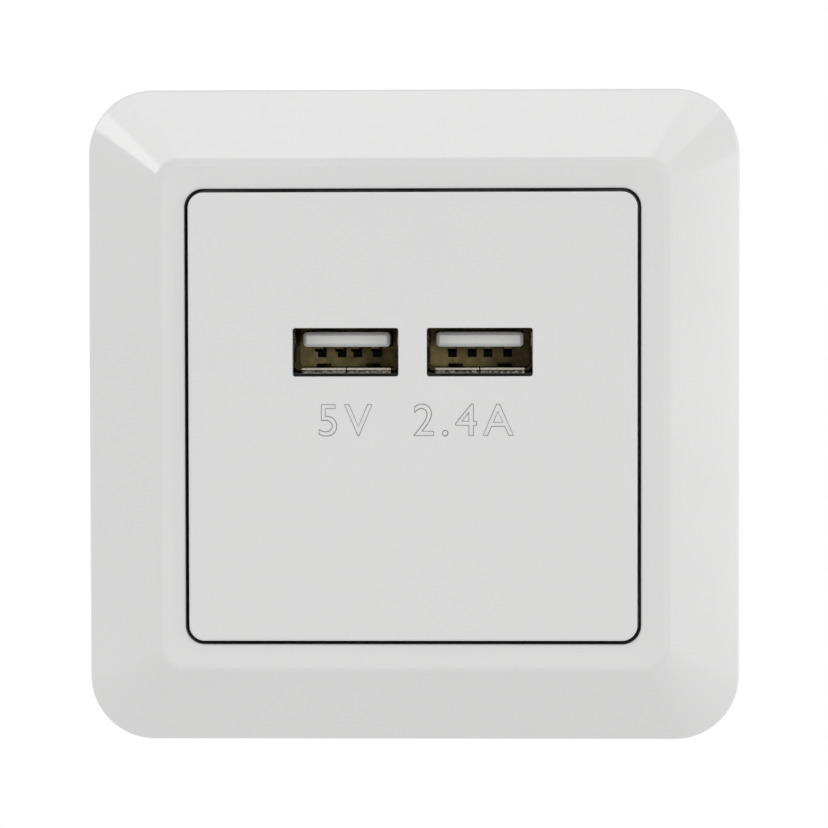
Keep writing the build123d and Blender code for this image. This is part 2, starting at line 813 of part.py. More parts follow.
with BuildPart() as terminal_block:
    block_middle = (block_top + block_bottom) / 2
    with BuildSketch(level(board_back)):
        with Locations((0, block_middle)):
            Rectangle(block_width, block_top - block_bottom)
    extrude(amount=block_back - board_back)
    for x in terminal_places.values():
        # Pocket for the clamp, open towards the board
        with BuildSketch(level(board_back)):
            with Locations((x, (pocket_top + pocket_bottom) / 2)):
                Rectangle(cage_width + 2 * cage_clearance, pocket_top - pocket_bottom)
        extrude(amount=pocket_back - board_back, mode=Mode.SUBTRACT)
        # Wire hole through the back wall
        with BuildSketch(level(pocket_back)):
            with Locations((x, bar_top + wire_space / 2)):
                Circle(wire_hole_radius)
        extrude(amount=block_back - pocket_back, mode=Mode.SUBTRACT)
        # Well for the screw head in the lower face
        with BuildSketch(Plane.XY.offset(block_bottom)):
            with Locations((x, -cage_middle)):
                Circle(terminal_head_radius + terminal_well_clearance)
        extrude(amount=pocket_bottom - block_bottom, mode=Mode.SUBTRACT)


def terminal_bar(x):
    """Fixed contact bar inside the clamp, with a solder tail through the power board."""
    bar_back = pocket_back + cage_clearance
    bar_front = cage_middle + cage_length / 2 + cage_clearance
    with BuildPart() as bar:
        with BuildSketch(level(bar_back)):
            with Locations((x, tail_z)):
                Rectangle(bar_width, bar_thickness)
        extrude(amount=bar_front - bar_back)
        with BuildSketch(level(bar_front)):
            with Locations((x, tail_z)):
                Rectangle(tail_width, bar_thickness)
        extrude(amount=board_front + solder_length - bar_front)
    return bar


def terminal_clamp(x):
    """Rising clamp: a square cage round the bar, threaded at its lower wall."""
    inner_width = cage_width - 2 * cage_side
    inner_bottom = cage_bottom + cage_nut
    with BuildPart() as cage:
        with BuildSketch(level(cage_middle - cage_length / 2)):
            with Locations((x, (cage_height_top + cage_bottom) / 2)):
                Rectangle(cage_width, cage_height_top - cage_bottom)
            with Locations((x, (cage_inner_top + inner_bottom) / 2)):
                Rectangle(inner_width, cage_inner_top - inner_bottom, mode=Mode.SUBTRACT)
        extrude(amount=cage_length)
        with BuildSketch(Plane.XY.offset(cage_bottom)):
            with Locations((x, -cage_middle)):
                Circle(terminal_screw_radius + terminal_thread_clearance)
        extrude(amount=cage_nut, mode=Mode.SUBTRACT)
    return cage


def terminal_screw(x):
    """Clamp screw: its tip bears on the bar and its slotted head sits in the block's well."""
    with BuildPart() as screw:
        with BuildSketch(Plane.XY.offset(head_top)):
            with Locations((x, -cage_middle)):
                Circle(terminal_screw_radius)
        extrude(amount=bar_bottom - terminal_tip_gap - head_top)
        with BuildSketch(Plane.XY.offset(head_top)):
            with Locations((x, -cage_middle)):
                Circle(terminal_head_radius)
        extrude(amount=-terminal_head_height)
        with BuildSketch(Plane.XY.offset(head_top - terminal_head_height)):
            with Locations((x, -cage_middle)):
                Rectangle(2 * terminal_head_radius, terminal_slot_width)
        extrude(amount=terminal_slot_depth, mode=Mode.SUBTRACT)
    return screw


pieces = {
    "frame": frame,
    "centre_plate": centre_plate,
    "support_plate": support_plate,
    "housing_front": housing_front,
    "housing_rear": housing_rear,
    "usb_board": usb_board,
    "power_board": power_board,
    "header_body": header_body,
    "header_pins": header_pins,
    "transformer_core": transformer_core,
    "transformer_bobbin": transformer_bobbin,
    "transformer_winding": transformer_winding,
    "bulk_capacitor_lower": can(bulk_x, bulk_rise - bulk_pitch / 2, bulk_diameter, bulk_length),
    "bulk_capacitor_upper": can(bulk_x, bulk_rise + bulk_pitch / 2, bulk_diameter, bulk_length),
    "output_capacitor_lower": can(output_x, output_rise - output_pitch / 2, output_diameter, output_length),
    "output_capacitor_upper": can(output_x, output_rise + output_pitch / 2, output_diameter, output_length),
    "fuse": fuse,
    "bridge_rectifier": bridge_rectifier,
    "safety_capacitor": safety_capacitor,
    "optocoupler": optocoupler,
    "switching_chip": switching_chip,
    "rectifier_chip": rectifier_chip,
    "port_chips": port_chips,
    "terminal_block": terminal_block,
}
for side, port_x in port_places.items():
    pieces[f"usb_shell_{side}"] = usb_shell(port_x)
    pieces[f"usb_tongue_{side}"] = usb_tongue(port_x)
    pieces[f"usb_contacts_{side}"] = usb_contacts(port_x)
for pole, terminal_x in terminal_places.items():
    pieces[f"terminal_bar_{pole}"] = terminal_bar(terminal_x)
    pieces[f"terminal_clamp_{pole}"] = terminal_clamp(terminal_x)
    pieces[f"terminal_screw_{pole}"] = terminal_screw(terminal_x)

os.makedirs("parts", exist_ok=True)
for name, piece in pieces.items():
    piece.part.label = name
    export_step(piece.part, f"parts/{name}.step")
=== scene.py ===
"""Looks of the twin USB wall socket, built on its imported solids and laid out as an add-on.

Everything is in metres in the frame of the solids: the wall is the plane y = 0, the front faces -Y and
+Z is up. A height is measured from the wall towards the room.
"""

import math

import bmesh
import bpy
from mathutils import Matrix, Vector


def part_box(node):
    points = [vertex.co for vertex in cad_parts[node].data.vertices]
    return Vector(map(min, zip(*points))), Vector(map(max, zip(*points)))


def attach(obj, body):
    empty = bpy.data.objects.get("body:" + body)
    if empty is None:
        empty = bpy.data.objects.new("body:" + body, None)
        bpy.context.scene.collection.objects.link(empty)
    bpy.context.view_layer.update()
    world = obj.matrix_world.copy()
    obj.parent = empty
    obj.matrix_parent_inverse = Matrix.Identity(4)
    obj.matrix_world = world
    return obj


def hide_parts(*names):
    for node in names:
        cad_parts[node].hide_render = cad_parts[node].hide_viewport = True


bl_info = {
    "name": "Twin USB wall socket",
    "version": (1, 0, 0),
    "blender": (4, 5, 0),
    "location": "View3D > Sidebar > Socket",
    "description": "Builds the looks of a twin USB wall socket on its packed solids",
    "category": "Object",
}

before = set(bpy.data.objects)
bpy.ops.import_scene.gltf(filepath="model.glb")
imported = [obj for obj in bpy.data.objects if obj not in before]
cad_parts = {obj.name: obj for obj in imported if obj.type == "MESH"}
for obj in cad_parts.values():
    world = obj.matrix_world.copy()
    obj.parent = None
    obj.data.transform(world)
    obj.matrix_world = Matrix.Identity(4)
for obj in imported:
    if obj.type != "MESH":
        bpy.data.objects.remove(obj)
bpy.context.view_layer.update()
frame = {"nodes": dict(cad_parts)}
frame_low, frame_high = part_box("frame")
plate_low, plate_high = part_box("centre_plate")

# Room in front of the plate's face for the line of the rating
mark_room = 0.00003

# Width of the strip that keeps a flat face flat beside a rounding
hold = 0.00004

# How far ribs, and other added shapes, reach into what they stand on
rib_overlap = 0.0003
overlap = 0.0002

# Smallest distance that keeps two faces apart
hair = 0.00002

# Steps round a corner of the frame, of the plate, and of a window or tongue
frame_steps = 24
plate_steps = 16
small_steps = 6

# Range that most values of a noise texture lie in
noise_low = 0.3
noise_high = 0.7


def number(name, description, default, low=-10.0, **more):
    """A number that a user may change."""
    return bpy.props.FloatProperty(name=name, description=description, default=default, min=low, **more)


def length(name, description, default):
    """A length that a user may change."""
    return number(name, description, default, 0.0, precision=5, unit="LENGTH", subtype="DISTANCE")


def power(name, description, default):
    """A lamp's power."""
    return number(name, description, default, 0.0, unit="POWER")


def triple(name, description, default, **more):
    """Three numbers that a user may change."""
    return bpy.props.FloatVectorProperty(name=name, description=description, default=default, **more)


def tint(name, description, default):
    """A colour that a user may change."""
    return triple(name, description, default, min=0.0, max=1.0, subtype="COLOR")


def place(name, description, default):
    """A point that a user may move."""
    return triple(name, description, default, precision=4, unit="LENGTH", subtype="TRANSLATION")


class SocketFrameSizes(bpy.types.PropertyGroup):
    """Sizes of the bevelled frame."""

    outer: length("Outer size", "Width and height of the frame", frame_high.x - frame_low.x)
    corner: length("Corner", "Radius of the outer corners", 0.008)
    edge: length("Edge", "Height of the straight outer edge", 0.004)
    front: length("Front", "Height of the frame at its ridge", -frame_low.y)
    ridge: length("Ridge", "Distance from the middle to the ridge", 0.0313)
    ridge_corner: length("Ridge corner", "Corner radius of the ridge", 0.003)
    ridge_round: length("Ridge round", "Rounding along the ridge", 0.0018)
    rim_round: length("Rim round", "Rounding where the bevel meets the outer edge", 0.0005)
    foot_round: length("Foot round", "Rounding of the edges at the wall", 0.00025)
    hollow_round: length("Hollow round", "Rounding inside the hollow behind the rim", 0.0003)
    land_drop: length("Land drop", "How far the land falls from the ridge to the opening", 0.00035)
    land_round: length("Land round", "Rounding at the inner end of the land", 0.0002)
    opening: length("Opening", "Distance from the middle to the opening's edge", 0.02805)
    opening_corner: length("Opening corner", "Corner radius of the opening", 0.00232)
    opening_edge: length("Opening edge", "Width of the slope at the opening's edge", 0.0002)
    opening_fall: length("Opening fall", "How far that slope falls", 0.00008)
    wall: length("Wall", "Thickness of the bevelled wall", 0.002)
    collar_wall: length("Collar wall", "Thickness of the collar round the opening", 0.0013)
    collar_back: length("Collar back", "Height where the collar ends", 0.0044)
    collar_round: length("Collar round", "Rounding of the collar's edges", 0.0001)
    rib_spread: length("Rib spread", "Distance between the two ribs of a side", 0.044)
    rib_thickness: length("Rib thickness", "Thickness of a rib", 0.001)
    rib_back: length("Rib back", "Height where the ribs end", 0.0034)
    tab_spread: length("Tab spread", "Distance between the outer tabs of a side", 0.034)
    tab_width: length("Tab width", "Width of a tab", 0.005)
    tab_reach: length("Tab reach", "How far a tab reaches into the opening", 0.0012)
    tab_thickness: length("Tab thickness", "Thickness of a tab", 0.0011)
    tab_round: length("Tab round", "Rounding of a tab's edges", 0.00015)


class SocketPlateSizes(bpy.types.PropertyGroup):
    """Sizes of the centre plate."""

    size: length("Size", "Width and height of the plate", plate_high.x - plate_low.x)
    corner: length("Corner", "Radius of the plate's corners", 0.0019)
    front: length("Front", "Height of the plate's face", -plate_low.y - mark_room)
    thickness: length("Thickness", "Thickness of the face", 0.0019)
    edge_round: length("Edge round", "Rounding of the face's edge", 0.0003)
    skirt_wall: length("Skirt wall", "Thickness of the skirt", 0.0013)
    skirt_back: length("Skirt back", "Height where the skirt ends", 0.0055)
    skirt_corner: length("Skirt corner", "Corner radius inside the skirt", 0.0006)
    window_width: length("Window width", "Width of a port window", 0.013)
    window_height: length("Window height", "Height of a port window", 0.00595)
    window_corner: length("Window corner", "Corner radius of a port window", 0.0003)
    window_round: length("Window round", "Rounding of a window's front edge", 0.00012)
    port_pitch: length("Port pitch", "Distance between the ports", 0.0165)
    port_rise: length("Port rise", "Height of the windows above the middle", 0.00795)
    leg_spread: length("Leg spread", "Distance between the two legs of a side", 0.020)
    leg_width: length("Leg width", "Width of a leg", 0.006)
    leg_thickness: length("Leg thickness", "Thickness of a leg", 0.0014)
    leg_face: length("Leg face", "Distance from the middle to a leg's outer face", 0.0253)
    hook_reach: length("Hook reach", "How far a leg's hook stands out", 0.0006)
    hook_clearance: length("Hook clearance", "Room between a hook and the support plate", 0.0001)


class SocketPortSizes(bpy.types.PropertyGroup):
    """Sizes of the tongues in the ports."""

    tongue_rise: length("Tongue rise", "Height of the tongues above the middle", 0.00949)
    tongue_width: length("Tongue width", "Width of a tongue", 0.0108)
    tongue_thickness: length("Tongue thickness", "Thickness of a tongue", 0.00184)
    tongue_corner: length("Tongue corner", "Rounding along a tongue", 0.0005)
    tongue_chamfer: length("Tongue chamfer", "Chamfer round a tongue's tip", 0.00042)
    base_depth: length("Base depth", "Depth of a tongue's root", 0.0016)
    root_overlap: length("Root overlap", "How far a tongue reaches into its root", 0.0005)
    root_round: length("Root round", "Rounding of a root's edges", 0.00015)


class SocketEdges(bpy.types.PropertyGroup):
    """Roundings of the edges behind the covers."""

    sheet: length("Sheet", "Rounding of the support plate's edges", 0.00015)
    front: length("Front", "Rounding of the front housing and the terminal block", 0.0002)
    rear: length("Rear", "Rounding of the rear housing's edges", 0.0003)
    terminal: length("Terminals", "Rounding of the cages' and screws' edges", 0.00012)


class SocketMark(bpy.types.PropertyGroup):
    """The plain rating under the ports."""

    words: bpy.props.StringProperty(
        name="Words", description="Plain rating in outline figures", default="5V  2.4A"
    )
    letter_size: length("Letter size", "Size of the figures", 0.0056)
    spacing: number("Spacing", "Space between figures", 1.22, low=0.5, max=3.0)
    line: length("Line", "Half the width of the outline", 0.00006)
    middle: place("Middle", "Middle of the rating on the plate", (0.0003, -0.010098, -0.0006))


class SocketFinishes(bpy.types.PropertyGroup):
    """Colours of the finishes."""

    cover: tint("Cover", "Glossy white of the frame and plate", (0.80, 0.80, 0.795))
    # Painted shade: grey for the white plastic's faces in the gap, the tabs and the support plate's front
    gap: tint("Gap", "Shaded grey in the gap round the plate", (0.34, 0.34, 0.34))
    mark: tint("Mark", "Grey of the rating", (0.20, 0.20, 0.20))
    tongue: tint("Tongue", "White of the tongues", (0.97, 0.97, 0.96))
    lip: tint("Lip", "Pale gold of the ports' lips", (1.0, 0.94, 0.76))
    # Painted shade: the dark gold stands for the shade inside the port shells
    shell: tint("Shell", "Dark gold of the port shells", (0.075, 0.060, 0.026))
    # Painted shade: a near-black gold for the contacts deep in the ports, also given to the header pins
    contact: tint("Contact", "Dark gold of the contacts", (0.05, 0.038, 0.02))
    root: tint("Root", "Dark grey of the tongues' roots", (0.03, 0.028, 0.024))
    steel: tint("Steel", "Zinc-plated support plate", (0.62, 0.63, 0.63))
    housing: tint("Housing", "Grey of the charger module", (0.36, 0.37, 0.38))
    block: tint("Block", "Dark grey of the terminal block", (0.055, 0.057, 0.062))
    brass: tint("Brass", "Brass of the terminals", (0.72, 0.53, 0.24))
    screw: tint("Screw", "Plated steel of the screws", (0.60, 0.60, 0.57))
    board: tint("Board", "Green of the boards", (0.03, 0.17, 0.07))
    package: tint("Package", "Black of the moulded packages", (0.035, 0.035, 0.04))
    core: tint("Core", "Dark grey of the core", (0.07, 0.07, 0.075))
    tape: tint("Tape", "Yellow of the winding's tape", (0.72, 0.50, 0.06))
    sleeve: tint("Sleeve", "Dark blue of the capacitor sleeves", (0.04, 0.05, 0.11))
    case: tint("Case", "Ochre of the moulded cases", (0.50, 0.38, 0.14))


class SocketStageSettings(bpy.types.PropertyGroup):
    """Camera, lamps and floor."""

    camera: place("Camera", "Where the camera stands", (0.00983, -0.41631, 0.01436))
    target: place("Target", "Point that the camera looks at", (-0.00007, 0.0, 0.00002))
    roll: number("Roll", "Turn of the camera", -0.0019, unit="ROTATION")
    lens: number("Lens", "Focal length in millimetres", 143.94, low=10.0)
    floor: number("Floor", "Height of the floor", -0.12, unit="LENGTH")
    floor_half: length("Floor half", "Distance from the middle to the floor's edge", 0.4)
    ambient: number("Ambient", "Soft light from all round", 0.605, low=0.0)
    front: power("Front lamp", "Large soft lamp behind the camera", 0.6)
    top: power("Top lamp", "Soft strip overhead", 0.88)
    left_strip: power("Left strip", "Soft strip overhead at the left", 0.71)
    right_strip: power("Right strip", "Soft strip overhead at the right", 0.43)
    right: power("Right lamp", "Soft lamp at the right", 1.76)
    corner: power("Corner lamp", "Small soft lamp at the upper left", 0.28)
    rear: power("Rear lamp", "Soft lamp behind, at the upper left", 2.0)


class SocketSettings(bpy.types.PropertyGroup):
    """All that a user may change."""

    frame: bpy.props.PointerProperty(type=SocketFrameSizes)
    plate: bpy.props.PointerProperty(type=SocketPlateSizes)
    ports: bpy.props.PointerProperty(type=SocketPortSizes)
    edges: bpy.props.PointerProperty(type=SocketEdges)
    mark: bpy.props.PointerProperty(type=SocketMark)
    finishes: bpy.props.PointerProperty(type=SocketFinishes)
    stage: bpy.props.PointerProperty(type=SocketStageSettings)


# Nodes


def connect(tree, value, socket):
    """Links an input to another node's output, or sets it to a plain value."""
    if isinstance(value, bpy.types.NodeSocket):
        tree.links.new(value, socket)
    else:
        socket.default_value = value


def feed(tree, node, **inputs):
    """Connects a node's inputs, with _ for each space in their names."""
    for label, value in inputs.items():
        connect(tree, value, node.inputs[label.replace("_", " ")])
    return node


def add_node(tree, kind, **inputs):
    """A new node with its inputs connected."""
    return feed(tree, tree.nodes.new(kind), **inputs)


def maths(tree, operation, *values):
    """The result of a math node."""
    made = tree.nodes.new("ShaderNodeMath")
    made.operation = operation
    for value, socket in zip(values, made.inputs):
        connect(tree, value, socket)
    return made.outputs[0]


# Materials


class Finish:
    """A new material with its shader, and the nodes that vary it over the surface."""

    def __init__(self, name):
        self.material = bpy.data.materials.new(name)
        self.material.use_nodes = True
        self.tree = self.material.node_tree
        self.shader = self.tree.nodes["Principled BSDF"]
        self.point = self.tree.nodes.new("ShaderNodeTexCoord").outputs["Object"]

    def noise(self, scale, detail=3.0, stretch=(1, 1, 1)):
        """Noise of a given number of features to the metre, stretched along an axis for grain."""
        mapping = add_node(self.tree, "ShaderNodeMapping", Vector=self.point, Scale=stretch)
        grain = {"Vector": mapping.outputs["Vector"], "Scale": scale, "Detail": detail}
        texture = add_node(self.tree, "ShaderNodeTexNoise", **grain)
        return texture.outputs["Fac"]

    def cells(self, scale):
        """Patches of a given number to the metre, each with one random value."""
        texture = add_node(self.tree, "ShaderNodeTexVoronoi", Vector=self.point, Scale=scale)
        return texture.outputs["Color"]

    def spread(self, value, start, end, low=0.0, high=1.0):
        """Carries a value from one range over to another, and holds it at both ends."""
        ends = {"From_Min": start, "From_Max": end, "To_Min": low, "To_Max": high}
        return add_node(self.tree, "ShaderNodeMapRange", Value=value, **ends).outputs["Result"]

    def along(self, axis, start, end, pitch=0.0):
        """Runs from 0 to 1 between two places along an axis, and again at every pitch."""
        value = add_node(self.tree, "ShaderNodeSeparateXYZ", Vector=self.point).outputs[axis]
        if pitch:
            value = maths(self.tree, "WRAP", value, pitch, 0.0)
        return self.spread(value, start, end)

    def both(self, first, second):
        """The product of two factors."""
        return maths(self.tree, "MULTIPLY", first, second)

    def ramp(self, factor, dark, light, low=noise_low, high=noise_high):
        """Colour that runs from dark to light with the factor."""
        made = add_node(self.tree, "ShaderNodeValToRGB", Fac=factor)
        first, last = made.color_ramp.elements
        first.position, first.color = low, (*dark, 1.0)
        last.position, last.color = high, (*light, 1.0)
        return made.outputs["Color"]

    def colour(self, factor, dark, light, low=noise_low, high=noise_high, crevice_shade=0.0):
        """Base colour that runs from dark to light, with painted shade in crevices of a given depth."""
        tone = self.ramp(factor, dark, light, low, high)
        if crevice_shade:
            shadow = add_node(self.tree, "ShaderNodeAmbientOcclusion", Color=tone, Distance=crevice_shade)
            tone = shadow.outputs["Color"]
        feed(self.tree, self.shader, Base_Color=tone)

    def blend(self, factor, first, second):
        """Colour that goes from the first to the second with the factor."""
        mix = self.tree.nodes.new("ShaderNodeMix")
        mix.data_type = "RGBA"
        sockets = {socket.identifier: socket for socket in (*mix.inputs, *mix.outputs)}
        for label, value in (("Factor_Float", factor), ("A_Color", first), ("B_Color", second)):
            connect(self.tree, value, sockets[label])
        return sockets["Result_Color"]

    def roughness(self, factor, smooth, rough):
        """Roughness that runs from smooth to rough with the factor."""
        result = self.spread(factor, noise_low, noise_high, smooth, rough)
        feed(self.tree, self.shader, Roughness=result)

    def bump(self, factor, depth):
        """Relief of a given depth in metres."""
        relief = add_node(self.tree, "ShaderNodeBump", Strength=1.0, Distance=depth, Height=factor)
        feed(self.tree, self.shader, Normal=relief.outputs["Normal"])

    def rolled(self, stretch, smooth, rough):
        """Grain of rolled metal, drawn out along one axis."""
        self.roughness(self.noise(900, stretch=stretch), smooth, rough)
        self.bump(self.noise(900, stretch=stretch), 0.000002)


def shade(colour, share):
    """The colour times a share."""
    return tuple(channel * share for channel in colour)


def cover_plastic(colour):
    """Glossy moulded white, with a faint flow in its gloss and the softest orange peel."""
    finish = Finish("cover plastic")
    finish.colour(finish.noise(45, detail=2.0), shade(colour, 0.985), colour)
    finish.roughness(finish.noise(90), 0.09, 0.13)
    finish.bump(finish.noise(900, detail=2.0), 0.0000015)
    finish.shader.inputs["IOR"].default_value = 1.49
    return finish.material


def mark_ink(colour):
    """Grey line, a little uneven along its length."""
    finish = Finish("mark line")
    finish.colour(finish.noise(1500, detail=2.0), shade(colour, 0.7), colour)
    finish.roughness(finish.noise(800), 0.4, 0.6)
    return finish.material


def moulded(
    name, colour, smooth=0.42, rough=0.58, grain=2200, depth=0.000012, vary=0.9, crevice_shade=0.0, sheen=0.5
):
    """Moulded plastic with a fine spark-eroded texture, and painted shade in crevices where a depth is
    given.
    """
    finish = Finish(name)
    finish.colour(finish.noise(60, detail=4.0), shade(colour, vary), colour, crevice_shade=crevice_shade)
    finish.roughness(finish.noise(300), smooth, rough)
    finish.bump(finish.noise(grain, detail=2.0), depth)
    finish.shader.inputs["Specular IOR Level"].default_value = sheen
    return finish.material


def cover_materials(finishes):
    """White of the covers, and the grey painted shade for the faces in the gap between them, each made
    once.
    """
    made = bpy.data.materials
    white = made.get("cover plastic") or cover_plastic(finishes.cover)
    grey = made.get("gap painted shade") or moulded("gap painted shade", finishes.gap, 0.6, 0.75, sheen=0.0)
    return white, grey


def sheet_metal(name, colour, stretch, smooth, rough):
    """Rolled metal with grain along one axis and a little tarnish."""
    finish = Finish(name)
    finish.colour(finish.noise(220, detail=4.0), shade(colour, 0.82), colour)
    finish.rolled(stretch, smooth, rough)
    finish.shader.inputs["Metallic"].default_value = 1.0
    return finish.material


def port_metal(lip, painted_shade_inside, pitch):
    """Port shell: painted shade inside, a painted glow at the lower left of its back wall, painted
    highlights and shade on its lips.
    """
    # Places along an axis between which one tone gives way to the next
    fade_right = (0.0125, 0.0015)
    fade_up = (0.0105, 0.0064)
    back_wall = (0.0026, 0.0030)
    lip_front = (-0.00729, -0.00731)
    lower_lips = (0.0064, 0.0060)
    crown_foot = (0.00572, 0.00579)
    crown_top = (0.0061, 0.0060)
    lip_edge = (0.00539, 0.00536)
    right_half = (0.008, 0.009)

    finish = Finish("shell metal")
    # Painted shade on the cavity's side walls, and a painted glow on its back wall that fades to the right
    # and upwards
    grain = finish.noise(700, detail=4.0)
    wall = finish.ramp(grain, shade(painted_shade_inside, 0.2), shade(painted_shade_inside, 0.5))
    painted_glow = finish.both(finish.along("X", *fade_right, pitch), finish.along("Z", *fade_up))
    back = finish.ramp(painted_glow, shade(painted_shade_inside, 0.45), shade(painted_shade_inside, 2.0), 0.05, 0.75)
    inside = finish.blend(finish.along("Y", *back_wall), wall, back)

    # Painted light on the lips: a painted highlight along the crown of the lower lips, painted shade below
    # it down to a mid-gold edge, and painted shade on the left side lips, lighter on the right
    fleck = finish.noise(2600, detail=4.0)
    lip_painted_shade = finish.ramp(fleck, shade(lip, 0.02), shade(lip, 0.22), 0.4, 0.7)
    dark = finish.ramp(fleck, shade(lip, 0.03), shade(lip, 0.12))
    edge = finish.ramp(fleck, shade(lip, 0.12), shade(lip, 0.38))
    bright = finish.ramp(fleck, shade(lip, 0.9), lip)
    crown = finish.both(finish.along("Z", *crown_foot), finish.along("Z", *crown_top))
    lower = finish.blend(finish.along("Z", *lip_edge), lip_painted_shade, edge)
    lower = finish.blend(crown, lower, bright)
    side = finish.blend(finish.along("X", *right_half, pitch), dark, edge)
    lips = finish.blend(finish.along("Z", *lower_lips), side, lower)

    front = finish.along("Y", *lip_front)
    tone = finish.blend(front, inside, lips)
    # The crown is kept nearly non-metallic so that its painted highlight shows
    metallic = finish.spread(finish.both(crown, front), 0.0, 1.0, 1.0, 0.1)
    feed(finish.tree, finish.shader, Base_Color=tone, Metallic=metallic)
    finish.rolled((1.0, 0.12, 1.0), 0.24, 0.38)
    return finish.material


def zinc_plate(colour):
    """Zinc-plated steel: pale patches with a soft sheen, and painted shade in its crevices."""
    finish = Finish("zinc plate")
    finish.colour(finish.cells(420), shade(colour, 0.84), colour, low=0.0, high=1.0, crevice_shade=0.003)
    finish.roughness(finish.noise(700), 0.30, 0.44)
    finish.bump(finish.noise(1600, detail=2.0), 0.000003)
    finish.shader.inputs["Metallic"].default_value = 1.0
    return finish.material


def laminate(colour):
    """Board laminate with its weave showing through the lacquer."""
    finish = Finish("board laminate")
    finish.colour(finish.noise(1200, 2.0, (1.0, 1.0, 0.3)), shade(colour, 0.75), colour)
    finish.roughness(finish.noise(400), 0.3, 0.42)
    finish.bump(finish.noise(1400, 1.0, (0.3, 1.0, 1.0)), 0.000004)
    return finish.material


# Meshes

# Weld distance, the turn up to which faces join, and the turns from which edges round or crease
weld = 0.000002
flat_turn = math.radians(0.5)
round_turn = math.radians(40)
crease_turn = math.radians(50)


def added(name, data):
    """A new object in the scene."""
    made = bpy.data.objects.new(name, data)
    bpy.context.scene.collection.objects.link(made)
    return made


def as_data(name, mesh):
    """Turns a bmesh into the data of an object."""
    data = bpy.data.meshes.new(name)
    mesh.to_mesh(data)
    mesh.free()
    return data


def finished(name, data, materials, body="socket", replaces=(), sharp=30):
    """Gives a mesh its materials, its smooth faces, its creases and its body."""
    if not data.materials:
        for material in materials:
            data.materials.append(material)
    for polygon in data.polygons:
        polygon.use_smooth = True
    if sharp:
        data.set_sharp_from_angle(angle=math.radians(sharp))
    made = added(name, data)
    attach(made, body)
    if replaces:
        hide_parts(*replaces)
    return made


def piece(name, mesh, materials, replaces=()):
    """Turns a bmesh into a finished piece of the fixed body."""
    bmesh.ops.recalc_face_normals(mesh, faces=mesh.faces)
    return finished(name, as_data(name, mesh), materials, replaces=replaces)


def paint(material, *nodes):
    """Gives solids that show as they are their material."""
    for node in nodes:
        data = frame["nodes"][node].data
        data.materials.clear()
        data.materials.append(material)


def rounded_loop(middle, half_width, half_height, corner, height, steps):
    """Points of a rounded rectangle at a height in front of the wall, anticlockwise from the front."""
    points = []
    for quarter, (right, up) in enumerate(((1, 1), (-1, 1), (-1, -1), (1, -1))):
        for step in range(steps + 1):
            angle = math.pi / 2 * (quarter + step / steps)
            x = middle[0] + right * (half_width - corner) + corner * math.cos(angle)
            z = middle[1] + up * (half_height - corner) + corner * math.sin(angle)
            points.append(Vector((x, -height, z)))
    return points


def stack(middle, half_width, half_height, corner, rows, steps):
    """Rounded rectangles, one for each row of (growth, height)."""
    return [
        rounded_loop(middle, half_width + grow, half_height + grow, corner + grow, height, steps)
        for grow, height in rows
    ]


def quarter_turn(steps):
    """Angles from zero to a right angle."""
    return [math.pi / 2 * step / steps for step in range(steps + 1)]


def join(mesh, first, second):
    """Joins two rings of equal length with faces."""
    for i, vertex in enumerate(first):
        j = (i + 1) % len(first)
        mesh.faces.new((vertex, first[j], second[j], second[i]))


def skin(mesh, loops, close=False):
    """Joins loops of equal length with faces, and gives back their vertices."""
    rings = [[mesh.verts.new(point) for point in loop] for loop in loops]
    for first, second in zip(rings, rings[1:]):
        join(mesh, first, second)
    if close:
        join(mesh, rings[-1], rings[0])
    return rings


def fill(mesh, *rings):
    """Flat face between an outer ring and the rings of its holes."""
    edges = []
    for ring in rings:
        edges += [mesh.edges.get(pair) for pair in zip(ring, ring[1:] + ring[:1])]
    bmesh.ops.triangle_fill(mesh, use_beauty=True, edges=edges)


def round_profile(corners, segments):
    """Rounds a closed profile of (distance, height, corner radius, rounding) points."""
    points = []
    for i, (distance, height, corner, radius) in enumerate(corners):
        here = Vector((distance, height, corner))
        if not radius:
            points.append(here)
            continue
        back = Vector(corners[i - 1][:3]) - here
        ahead = Vector(corners[(i + 1) % len(corners)][:3]) - here
        turn = back.xy.angle(ahead.xy)
        reach = radius / math.tan(turn / 2)
        start = here + back * (reach / back.xy.length)
        end = here + ahead * (reach / ahead.xy.length)
        inward = (back.xy.normalized() + ahead.xy.normalized()).normalized()
        middle = here.xy + inward * (radius / math.sin(turn / 2))
        first = start.xy - middle
        sweep = first.angle_signed(end.xy - middle)
        points.append(start + back * (hold / back.xy.length))
        for step in range(segments + 1):
            share = step / segments
            spoke = Matrix.Rotation(-sweep * share, 2) @ first
            blend = (1 - share) ** 2 * start.z + 2 * share * (1 - share) * here.z + share**2 * end.z
            points.append(Vector((middle.x + spoke.x, middle.y + spoke.y, blend)))
        points.append(end + ahead * (hold / ahead.xy.length))
    return points


def block(mesh, low, high, soft):
    """A box between two corners, with its edges softened."""
    made = bmesh.ops.create_cube(mesh, size=1.0)["verts"]
    middle = (Vector(low) + Vector(high)) / 2
    size = Vector(high) - Vector(low)
    for vertex in made:
        vertex.co = Vector([middle[i] + vertex.co[i] * size[i] for i in range(3)])
    edges = list({edge for vertex in made for edge in vertex.link_edges})
    bmesh.ops.bevel(
        mesh, geom=edges, offset=soft, segments=2, profile=0.5, affect="EDGES", clamp_overlap=True
    )


def prism(mesh, outline, width):
    """A bar along X, about its middle, with an outline of (height, z) points."""
    left = [mesh.verts.new((-width / 2, -height, z)) for height, z in outline]
    right = [mesh.verts.new((width / 2, -height, z)) for height, z in outline]
    mesh.faces.new(left)
    mesh.faces.new(right[::-1])
    join(mesh, right, left)


